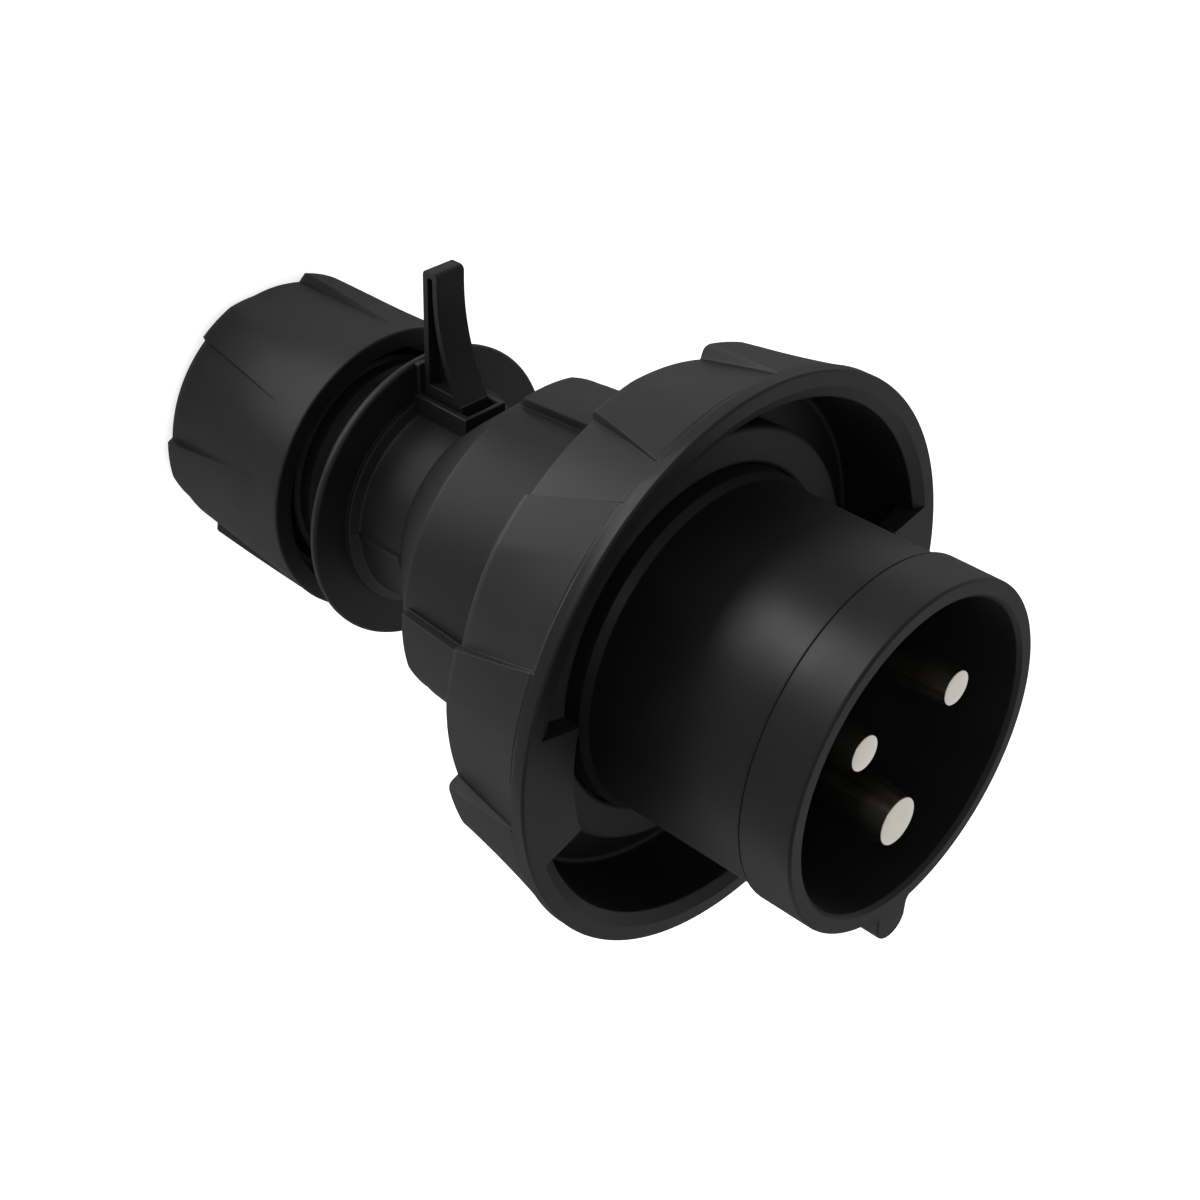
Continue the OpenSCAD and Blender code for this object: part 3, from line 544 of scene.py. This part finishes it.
class PLUG_OT_gland_nut(Operator):
    """Builds the ribbed gland nut with its inner thread"""
    bl_idname = "plug.gland_nut"
    bl_label = "Gland nut"

    def execute(self, context):
        form = context.scene.plug_form
        black = black_moulding(context.scene)
        entry, entry_edge, rear, front, mouth = 9.5, 10.7, 18.1, 20.0, 17.4
        entry_depth, bore_rear, bore_front = 1.2, 4, 21.3
        path = round_path([
            (entry, entry_depth, 0.15, 0), (entry_edge, 0, 0.3, 0), (rear, 0, 2.0, 40),
            (front, NUT_TOP, 0.3, 0), (mouth, NUT_TOP, 0.25, 0), (mouth, bore_front, 0.3, 0),
            (THREAD_BORE, bore_front, 0.4, 0), (THREAD_BORE, bore_rear, 0.3, 0), (entry, bore_rear, 0.2, 0)])
        grip_run, fade_from, fade_over = 2, 2.9, 0.1
        tooth_end, low_end, low_share = 23.6, 20.2, 0.75
        bevel, bevel_slope = 1.6, 1.05

        def place(r, z, at, angle):
            if not grip_run <= at <= grip_run + 1:
                return r, angle, z
            share, low = tooth_at(NUT_GRIP, angle)
            high, end = (form.nut_tooth * low_share, low_end) if low else (form.nut_tooth, tooth_end)
            tall = max(0, min(high * (1 - z / end), high - bevel + z * bevel_slope))
            fade = 1 - smooth((at - fade_from) / fade_over)
            return r + share * tall, lean_angle(NUT_GRIP, angle, z * fade, rear), z

        columns = grip_columns(NUT_GRIP, math.degrees(form.columns))
        nut = turned("gland_nut_moulding", path, columns, place)
        keep(nut, "nut", "housing", black, "gland_nut")
        thread = swept_thread("gland_nut_thread", bottom=5.2, top=20.6, phase=THREAD_PITCH / 2, foot=1.6,
                              root=THREAD_BORE + THREAD_SUNK, crest=THREAD_BORE - form.thread_depth)
        keep(thread, "nut", "housing", black)
        return {"FINISHED"}


class PLUG_OT_rear_housing(Operator):
    """Builds the rear housing: thread, drum, neck, shoulder, ribbed body, journal and lever frame"""
    bl_idname = "plug.rear_housing"
    bl_label = "Rear housing"

    def execute(self, context):
        form = context.scene.plug_form
        black = black_moulding(context.scene)
        spigot_bore, spigot, tail_seat = 13.5, THREAD_CREST - form.thread_depth, 21.6
        drum_foot, drum, neck_foot, neck, neck_bore = 17.2, 20.4, 15.4, 14, 11.5
        shoulder, body_rear, body_front, body_bore, flange, journal = 21.5, 22.4, 23.4, 20, 26, 24
        spigot_rear, seal_floor, drum_edge, cone_rear, cone_front = 8, 25.6, 32.5, 43.6, 52.6
        grip_rear, grip_front, flange_rear, tail_floor = 52.3, 66.6, 68.6, 62.5
        foot_height = 0.6
        path = round_path([
            (spigot_bore, spigot_rear, 0.2, 0), (spigot, spigot_rear, 0.4, 0), (spigot, DRUM_REAR, 0.3, 0),
            (drum_foot, DRUM_REAR, 1.2, 0), (drum, drum_edge, 1.0, 0), (drum, DRUM_FRONT, 0.5, 0),
            (neck_foot, DRUM_FRONT, 0.1, 0), (neck_foot, DRUM_FRONT + foot_height, 0.3, 0),
            (neck, DRUM_FRONT + 2 * foot_height, 0.4, 14), (neck, SHOULDER, 0.4, 4), (shoulder, BODY, 0.6, 0),
            (body_rear, grip_rear, 0.7, 34), (body_front, grip_front, 0.8, 0), (flange, flange_rear, 0.7, 0),
            (flange, FLANGE, 0.4, 0), (journal, FLANGE, 0.1, 8), (journal, SEAT, 0.3, 0),
            (tail_seat, SEAT, 0.2, 0), (tail_seat, tail_floor, 0.2, 0), (body_bore, tail_floor, 0.2, 0),
            (body_bore, cone_front, 1.5, 0), (neck_bore, cone_rear, 1.0, 0), (neck_bore, seal_floor, 0.3, 0),
            (spigot_bore, seal_floor, 0.2, 0)])
        neck_run, body_run, journal_run = 8, 11, 15
        ridge_half, ridge_edge, ridge_height = 1.4, 0.5, 0.35
        teeth_rear, rear_edge, teeth_front, front_edge = 52.4, 0.9, 66.5, 0.8
        stop_half, stop_edge, stop_height = 6, 0.2, 1.2

        def place(r, z, at, angle):
            if neck_run <= at <= neck_run + 1:
                for middle in SIDES:
                    off = abs((angle - middle + 180) % 360 - 180)
                    r += ridge_height * smooth((ridge_half + ridge_edge - off) / ridge_edge)
            elif body_run <= at <= body_run + 1:
                share, _ = tooth_at(BODY_GRIP, angle)
                ends = smooth((z - teeth_rear) / rear_edge) * smooth((teeth_front - z) / front_edge)
                r += share * form.body_tooth * ends
            elif journal_run < at < journal_run + 1:
                r += stop_height * any(in_span(angle, middle, stop_half) for middle in SIDES)
            return r, angle, z

        marks = edge_marks(SIDES, ridge_half, (0, ridge_edge / 2, ridge_edge))
        marks += edge_marks(SIDES, stop_half, (0, stop_edge))
        columns = grip_columns(BODY_GRIP, math.degrees(form.columns), marks)
        housing = turned("rear_housing_moulding", path, columns, place)
        self.lever_pocket(housing)
        keep(housing, "housing", "housing", black, "rear_housing")
        thread = swept_thread("spigot_thread", bottom=9.4, top=28.3, phase=0, foot=1.7,
                              root=spigot - THREAD_SUNK, crest=THREAD_CREST)
        keep(thread, "housing", "housing", black)
        self.lever_frame(black)
        return {"FINISHED"}

    def lever_pocket(self, housing):
        """Opens the neck under the lever."""
        slack, bottom, top = 0.02, 6, 17
        pocket = bmesh.new()
        block(pocket, (-POCKET_HALF - slack, bottom, POCKET_REAR - slack),
              (POCKET_HALF + slack, top, POCKET_FRONT + slack))
        cut_away(housing, pocket)
        housing.data.shade_smooth()
        housing.data.set_sharp_from_angle(angle=math.radians(SHARP_EDGE))

    def lever_frame(self, black):
        """Raised frame around the lever's foot and the rib that joins it to the drum."""
        bottom, top, half, front, sunk, edge = 11.55, 16.2, 3.5, 43.3, 0.3, 0.25
        outer = (-half, half, DRUM_FRONT - sunk, front)
        inner = (-POCKET_HALF, POCKET_HALF, POCKET_REAR, POCKET_FRONT)
        work = bmesh.new()
        rings = []
        for x0, x1, z0, z1 in (outer, inner):
            for y in (bottom, top):
                rings.append([work.verts.new((x * MM, y * MM, z * MM))
                              for x, z in ((x0, z0), (x1, z0), (x1, z1), (x0, z1))])
        for i in range(4):
            j = (i + 1) % 4
            for a, b in ((0, 1), (2, 3), (0, 2), (1, 3)):
                work.faces.new((rings[a][i], rings[a][j], rings[b][j], rings[b][i]))
        bmesh.ops.recalc_face_normals(work, faces=work.faces)
        keep(rounded("lever_frame", work, edge), "housing", "housing", black)
        rib_half, rib_bottom, rib_top, rib_front, rib_sunk = 2.9, 13, 20.2, 34.2, 0.4
        work = bmesh.new()
        block(work, (-rib_half, rib_bottom, DRUM_FRONT - rib_sunk), (rib_half, rib_top, rib_front))
        keep(rounded("drum_rib", work, edge), "housing", "housing", black)


class PLUG_OT_lock_lever(Operator):
    """Builds the upright lever with its hollow sides"""
    bl_idname = "plug.lock_lever"
    bl_label = "Lock lever"

    def outline(self, inset, low, high, curve):
        """Side outline above a height: upright rear edge, rounded top and hollow-curved front edge."""
        bend, tip, reach = 31.0, 2.6, 26.6
        front_cuts, top_cuts = 14, 6
        front = []
        for k in range(front_cuts + 1):
            h = bend + (low + inset - bend) * k / front_cuts
            front.append((h, tip + reach - math.sqrt((reach + inset) ** 2 - (bend - h) ** 2)))
        top = []
        for middle, first in ((inset + curve, 180), (tip - inset - curve, 90)):
            for k in range(top_cuts + 1):
                turn = math.radians(first - 90 * k / top_cuts)
                top.append((high - inset - curve + curve * math.sin(turn), middle + curve * math.cos(turn)))
        return [(low + inset, inset)] + top + front

    def execute(self, context):
        foot, base, depth, heel = 16.8, 11.3, 6.9, 0.9
        edge, top_curve = 0.22, 0.7
        wall, web_half, hollow_curve = 0.9, 0.45, 0.2
        work = bmesh.new()
        upper = self.outline(0, foot, LEVER_TOP, top_curve)
        lower = [(foot, depth), (base + heel, depth), (base, depth - heel), (base, heel), (base + heel, 0)]
        slab(work, upper[1:] + lower, -LEVER_WIDTH / 2, LEVER_WIDTH / 2)
        lever = rounded("lock_lever_moulding", work, edge)
        for side in (-1, 1):
            hollow = bmesh.new()
            slab(hollow, self.outline(wall, foot, LEVER_TOP, hollow_curve),
                 *sorted((side * web_half, side * LEVER_WIDTH)))
            cut_away(lever, hollow)
        lever.data.shade_smooth()
        keep(lever, "lever", "housing", black_moulding(context.scene), "lock_lever")
        return {"FINISHED"}


class PLUG_OT_bayonet_ring(Operator):
    """Builds the bayonet ring: stepped grip, front rim, inward lugs and stop notches"""
    bl_idname = "plug.bayonet_ring"
    bl_label = "Bayonet ring"

    def execute(self, context):
        form = context.scene.plug_form
        bore, rear, grip, rim, mouth, throat, inner = 24.2, 32.6, 36.4, 36.8, 34.8, 33.2, 32.1
        throat_level = 86.3
        rim_edge, rim_edge_level, rim_level = rim - 0.2, RIM + 0.15, RIM + 0.5
        path = round_path([
            (bore, RING_REAR, 0.2, 0), (rear, RING_REAR, 0.45, 24), (grip, RIM, 0.1, 0),
            (rim_edge, rim_edge_level, 0.1, 0), (rim, rim_level, 0.3, 0), (rim, RING_TOP, 0.35, 0),
            (mouth, RING_TOP, 0.25, 0), (throat, throat_level, 0.3, 12), (inner, RING_FLOOR, 0.8, 0),
            (bore, RING_FLOOR, 0.2, 0)])
        grip_start, grip_end, rim_end, bore_corners = 1, 2, 4, (0, 9)
        lug_start, lug_end = 6, 7.6
        full_front, low_rear, low_front = 0.35, 1.4, 0.38
        bevel_share, bevel_length = 0.35, 0.8
        lug_at, lug_half, lug_tip, lug_root, lug_edge = 93, 15, 28.6, 33.0, 0.3
        lug_thin, lug_thick = 2.6, 3.2
        notch_half, notch_turn, notch_depth = 6.6, 45, 1.4
        wall = 0.15
        notches = [middle + notch_turn / 2 for middle in SIDES]
        notch_span = notch_half + notch_turn / 2
        lug_run = [p for p in path if lug_start <= p[2] < lug_end]

        def on_lug(r, z, at, angle, side):
            # Spreads the points of the mouth's bevel along the lug's front face, tip and rear face
            local = side * ((angle - side * lug_at + 180) % 360 - 180) / lug_half
            rear_z = RING_TOP - (lug_thin + lug_thick) / 2 - local * (lug_thick - lug_thin) / 2
            bends = ((mouth, RING_TOP), (lug_tip + lug_edge, RING_TOP), (lug_tip, RING_TOP - lug_edge),
                     (lug_tip, rear_z + lug_edge), (lug_tip + lug_edge, rear_z),
                     (lug_root - lug_edge, rear_z), (lug_root, rear_z - lug_edge))
            along = lug_run.index((r, z, at)) / (len(lug_run) - 1) * (len(bends) - 1)
            k = min(len(bends) - 2, int(along))
            return tuple(a + (b - a) * (along - k) for a, b in zip(bends[k], bends[k + 1]))

        def place(r, z, at, angle):
            if grip_start <= at <= rim_end:
                along = min(z, RIM) - RING_REAR
                share, low = tooth_at(RING_GRIP, angle)
                start, end = (low_rear, low_front) if low else (form.ring_tooth, full_front)
                tall = start + (end - start) * along / (RIM - RING_REAR)
                bevel = bevel_share * max(0, 1 - along / bevel_length)
                crest = (r if at <= grip_end else grip) + share * tall * (1 - bevel)
                return max(r, crest), lean_angle(RING_GRIP, angle, along, rear), z
            if lug_start <= at < lug_end:
                for side in (1, -1):
                    if in_span(angle, side * lug_at, lug_half):
                        r, z = on_lug(r, z, at, angle, side)
                        break
            elif at in bore_corners:
                r += notch_depth * any(in_span(angle, middle, notch_span) for middle in notches)
            return r, angle, z

        marks = edge_marks((lug_at, -lug_at), lug_half, (0, wall))
        marks += edge_marks(notches, notch_span, (0, wall))
        columns = grip_columns(RING_GRIP, math.degrees(form.columns), marks)
        ring = turned("bayonet_ring_moulding", path, columns, place)
        keep(ring, "ring", "housing", black_moulding(context.scene), "bayonet_ring")
        return {"FINISHED"}


class PLUG_OT_shroud(Operator):
    """Builds the shroud around the pins, with its flange, collar, front band and key"""
    bl_idname = "plug.shroud"
    bl_label = "Shroud"

    def execute(self, context):
        form = context.scene.plug_form
        black = black_moulding(context.scene)
        tail_bore, tail, tail_rear = 19, 21.5, 63.1
        collar, collar_slope, sleeve, band, band_slope = 22.1, 1.05, 21.4, 22, 0.1
        line_rear, line_floor, line_front, line_depth = BAND + 0.25, BAND + 0.3, BAND + 0.45, 0.13
        mouth, mouth_bevel, bore_front, bore_rear = 20.1, 0.5, 19.6, 19.2
        path = round_path([
            (0, FLOOR_REAR, 0, 0), (tail_bore, FLOOR_REAR, 0.3, 0), (tail_bore, tail_rear, 0.2, 0),
            (tail, tail_rear, 0.2, 0), (tail, SEAT, 0.1, 0), (GASKET_EDGE, SEAT, 0.4, 0),
            (GASKET_EDGE, GASKET, 0.3, 0), (collar, GASKET, 0.2, 0), (collar, COLLAR, 0.2, 0),
            (sleeve, COLLAR + collar_slope, 0.4, 24), (sleeve, BAND - band_slope, 0.08, 0),
            (band, BAND + band_slope, 0.1, 0), (band, line_rear, 0.03, 0),
            (band - line_depth, line_floor, 0.02, 0), (band, line_front, 0.05, 6),
            (band, MOUTH, 0.4, 0), (mouth, MOUTH, 0.25, 0),
            (bore_front, MOUTH - mouth_bevel, 0.3, 24), (bore_rear, FLOOR_FRONT, 0.8, 6),
            (0, FLOOR_FRONT, 0, 0)], closed=False)
        columns = clock_columns((), math.degrees(form.columns))
        shroud = turned("shroud_moulding", path, columns, closed=False)
        keep(shroud, "housing", "housing", black, "shroud")
        self.key(black)
        return {"FINISHED"}

    def key(self, black):
        """Key along the shroud at 6 o'clock, with a round tip and a flared root."""
        half, tip, root, skin, flare = 2.7, 26.8, 20.7, 21.9, 1.2
        rear, front = MOUTH - 26, MOUTH - 0.25
        edge, edge_segments, quarter_cuts = 0.45, 4, 6
        turns = [math.radians(90 * k / quarter_cuts) for k in range(1, 2 * quarter_cuts)]
        flank = [(-half - flare, root), (-half - flare, skin)]
        for turn in turns[:quarter_cuts]:
            flank.append((-half - flare + flare * math.sin(turn), skin + flare * (1 - math.cos(turn))))
        crown = [(-half * math.cos(turn), tip - half + half * math.sin(turn)) for turn in turns]
        outline = flank + crown + [(-x, y) for x, y in reversed(flank)]
        work = bmesh.new()
        rings = [[work.verts.new((x * MM, -y * MM, z * MM)) for x, y in outline] for z in (rear, front)]
        prism(work, *rings)
        keep(rounded("shroud_key", work, edge, edge_segments), "housing", "housing", black)


class PLUG_OT_seals(Operator):
    """Builds the flat face gasket and dresses the hidden seals"""
    bl_idname = "plug.seals"
    bl_label = "Seals"

    def execute(self, context):
        rubber = seal_rubber(context.scene)
        bore, front = 22.4, GASKET + 1.5
        path = round_path([
            (bore, GASKET, 0.2, 0), (GASKET_EDGE, GASKET, 0.2, 0), (GASKET_EDGE, front, 0.6, 0),
            (bore, front, 0.6, 0)])
        columns = clock_columns((), math.degrees(context.scene.plug_form.columns))
        keep(turned("face_gasket_rubber", path, columns), "housing", "rubber", rubber, "face_gasket")
        for node in ("gland_seal", "housing_seal"):
            dress(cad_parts[node], rubber)
        return {"FINISHED"}


class PLUG_OT_contacts(Operator):
    """Builds the three turned contact pins with their terminal barrels"""
    bl_idname = "plug.contacts"
    bl_label = "Contacts"

    def execute(self, context):
        nickel = contact_nickel(context.scene)
        column_step = 5
        wire, wire_floor = 2.0, TERMINAL + 11.4
        root_step, root_front = 0.4, FLOOR_FRONT + 0.3
        taper, taper_rear, taper_front = 0.88, TIP - 3.4, TIP - 0.1
        dome, dome_level = 0.5, TIP - 0.04
        columns = clock_columns((), column_step)
        for name, clock, pin, barrel in PINS:
            turn = math.radians(clock)
            centre = (PIN_CIRCLE * math.sin(turn), PIN_CIRCLE * math.cos(turn))
            root = pin + root_step
            path = round_path([
                (0, wire_floor, 0, 0), (wire, wire_floor, 0.2, 0), (wire, TERMINAL, 0.3, 0),
                (barrel, TERMINAL, 0.4, 0), (barrel, FLOOR_REAR, 0.3, 0), (root, FLOOR_REAR, 0.1, 0),
                (root, root_front, 0.1, 0), (pin, root_front, 0.05, 0), (pin, taper_rear, 2, 0),
                (pin * taper, taper_front, 0.12, 0), (pin * dome, dome_level, 2, 0), (0, TIP, 0, 0)],
                closed=False)
            piece = turned(name + "_turned", path, columns, closed=False, centre=centre)
            keep(piece, "housing", "contact", nickel, name)
        return {"FINISHED"}


class PLUG_OT_inside(Operator):
    """Dresses the pieces inside: gland insert, terminal block, screws and lever pin"""
    bl_idname = "plug.inside"
    bl_label = "Inner pieces"

    def execute(self, context):
        for node in ("slip_ring", "clamp_cage", "terminal_block"):
            dress(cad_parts[node], insert_moulding(context.scene))
        for node in ("block_screw", "earth_screw", "line_screw", "neutral_screw", "lever_pin"):
            dress(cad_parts[node], screw_zinc(context.scene))
        return {"FINISHED"}


class PLUG_OT_stage(Operator):
    """Sets up the floor, the even sky, the soft boxes and the camera"""
    bl_idname = "plug.stage"
    bl_label = "Stage"

    def execute(self, context):
        scene = context.scene
        scene.view_settings.view_transform = "Standard"
        self.floor(scene)
        self.sky(scene)
        self.soft_boxes(scene)
        self.camera(scene)
        return {"FINISHED"}

    def floor(self, scene):
        """White floor under the gland nut, which glows where it is seen and takes shadows."""
        half, drop, glow = 3.0, 0.0002, 0.6
        corners = [(-half, -half, 0), (half, -half, 0), (half, half, 0), (-half, half, 0)]
        mesh = bpy.data.meshes.new("floor")
        mesh.from_pydata(corners, [], [(0, 1, 2, 3)])
        floor = add_object("floor", mesh)
        floor.location.z = -drop
        made = bpy.data.materials.new("pale_floor")
        made.use_nodes = True
        tree = made.node_tree
        shader = tree.nodes["Principled BSDF"]
        shader.inputs["Base Color"].default_value = (*scene.plug_stage.floor, 1)
        shader.inputs["Roughness"].default_value = 0.9
        shader.inputs["Specular IOR Level"].default_value = 0.1
        shader.inputs["Emission Color"].default_value = (1, 1, 1, 1)
        level = add_node(tree, "ShaderNodeMath", operation="MULTIPLY")
        level.inputs[1].default_value = glow
        tree.links.new(self.seen_rays(tree), level.inputs[0])
        tree.links.new(level.outputs["Value"], shader.inputs["Emission Strength"])
        floor.data.materials.append(made)

    def seen_rays(self, tree):
        """Value that is 1 for rays from the camera, from gloss and through glass, and 0 for all others."""
        path = tree.nodes.new("ShaderNodeLightPath")
        seen = path.outputs["Is Camera Ray"]
        for kind in ("Is Glossy Ray", "Is Transmission Ray"):
            either = add_node(tree, "ShaderNodeMath", operation="MAXIMUM")
            tree.links.new(seen, either.inputs[0])
            tree.links.new(path.outputs[kind], either.inputs[1])
            seen = either.outputs["Value"]
        return seen

    def sky(self, scene):
        """Even white light from all around."""
        world = bpy.data.worlds.new("studio")
        world.use_nodes = True
        back = world.node_tree.nodes["Background"]
        back.inputs["Color"].default_value = (1, 1, 1, 1)
        back.inputs["Strength"].default_value = scene.plug_stage.sky
        scene.world = world

    def soft_boxes(self, scene):
        """Round soft boxes, which the camera doesn't see."""
        for name, place, aim, size, watts in LIGHTS:
            lamp = bpy.data.lights.new(name, "AREA")
            lamp.shape = "DISK"
            lamp.size = size
            lamp.energy = watts * scene.plug_stage.lamps
            holder = add_object(name, lamp)
            holder.location = place
            holder.rotation_euler = (Vector(place) - Vector(aim)).to_track_quat("Z", "Y").to_euler()
            holder.visible_camera = False

    def camera(self, scene):
        """Camera of the photograph."""
        nearest = 0.01
        axes = Matrix([Vector(axis) for axis in CAMERA_AXES]).transposed()
        lens = bpy.data.cameras.new("photo_camera")
        lens.lens = CAMERA_LENS
        lens.sensor_width = CAMERA_SENSOR
        lens.clip_start = nearest
        camera = add_object("photo_camera", lens)
        camera.matrix_world = Matrix.Translation(CAMERA_AT) @ axes.to_4x4()
        scene.camera = camera


class PLUG_PT_build(Panel):
    """Lists the plug's pieces and the values that shape them"""
    bl_idname = "PLUG_PT_build"
    bl_label = "Pin-and-sleeve plug"
    bl_space_type = "VIEW_3D"
    bl_region_type = "UI"
    bl_category = "Plug"

    def draw(self, context):
        for kept in (context.scene.plug_finish, context.scene.plug_form, context.scene.plug_stage):
            column = self.layout.column(align=True)
            for name in kept.__annotations__:
                column.prop(kept, name)
        for operator in OPERATORS:
            self.layout.operator(operator.bl_idname)


OPERATORS = (PLUG_OT_stage, PLUG_OT_gland_nut, PLUG_OT_rear_housing, PLUG_OT_lock_lever, PLUG_OT_bayonet_ring,
             PLUG_OT_shroud, PLUG_OT_seals, PLUG_OT_contacts, PLUG_OT_inside)
CLASSES = (PlugFinish, PlugForm, PlugStage, *OPERATORS, PLUG_PT_build)


def register():
    """Registers the classes and the values kept on the scene."""
    for cls in CLASSES:
        bpy.utils.register_class(cls)
    bpy.types.Scene.plug_finish = PointerProperty(type=PlugFinish)
    bpy.types.Scene.plug_form = PointerProperty(type=PlugForm)
    bpy.types.Scene.plug_stage = PointerProperty(type=PlugStage)


def unregister():
    """Takes the values and the classes away again."""
    for name in ("plug_finish", "plug_form", "plug_stage"):
        delattr(bpy.types.Scene, name)
    for cls in reversed(CLASSES):
        bpy.utils.unregister_class(cls)


def main():
    """Builds the plug and its stage."""
    register()
    bpy.ops.plug.stage()
    bpy.ops.plug.gland_nut()
    bpy.ops.plug.rear_housing()
    bpy.ops.plug.lock_lever()
    bpy.ops.plug.bayonet_ring()
    bpy.ops.plug.shroud()
    bpy.ops.plug.seals()
    bpy.ops.plug.contacts()
    bpy.ops.plug.inside()


if __name__ == "__main__":
    main()
